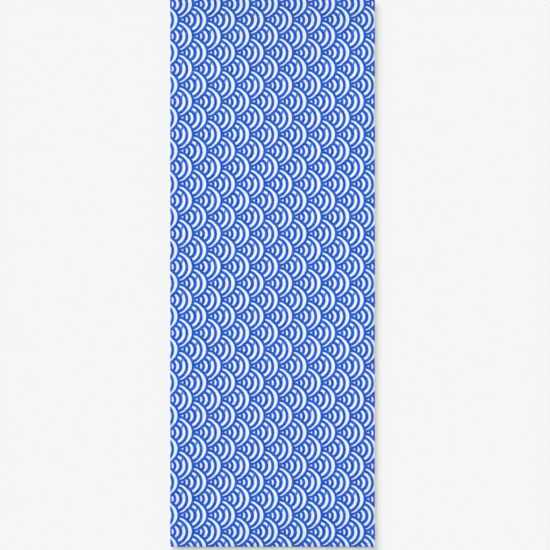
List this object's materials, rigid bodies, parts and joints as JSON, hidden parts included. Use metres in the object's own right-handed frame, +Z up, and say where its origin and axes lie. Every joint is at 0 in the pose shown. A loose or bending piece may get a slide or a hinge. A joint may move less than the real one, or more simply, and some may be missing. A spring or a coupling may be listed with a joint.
{
  "type": "tenugui towel",
  "caption": "Thin plain-woven cotton towel lying open and flat, dyed with a traditional blue overlapping-wave pattern on white, with selvedge sides and unhemmed ends.",
  "frame": {"origin": "middle of the face that the towel lies on, at the level of the surface under it", "axes": "+X across the cloth from selvedge to selvedge, +Y along its length, +Z up out of the patterned face"},
  "size_m": [0.336, 0.9, 0.0038],
  "materials": {
    "dyed_cotton": "matte plain-woven cotton, white ground with a deep blue dyed wave pattern"
  },
  "bodies": {
    "root": {"tenugui_cloth": "dyed_cotton"}
  },
  "joints": []
}
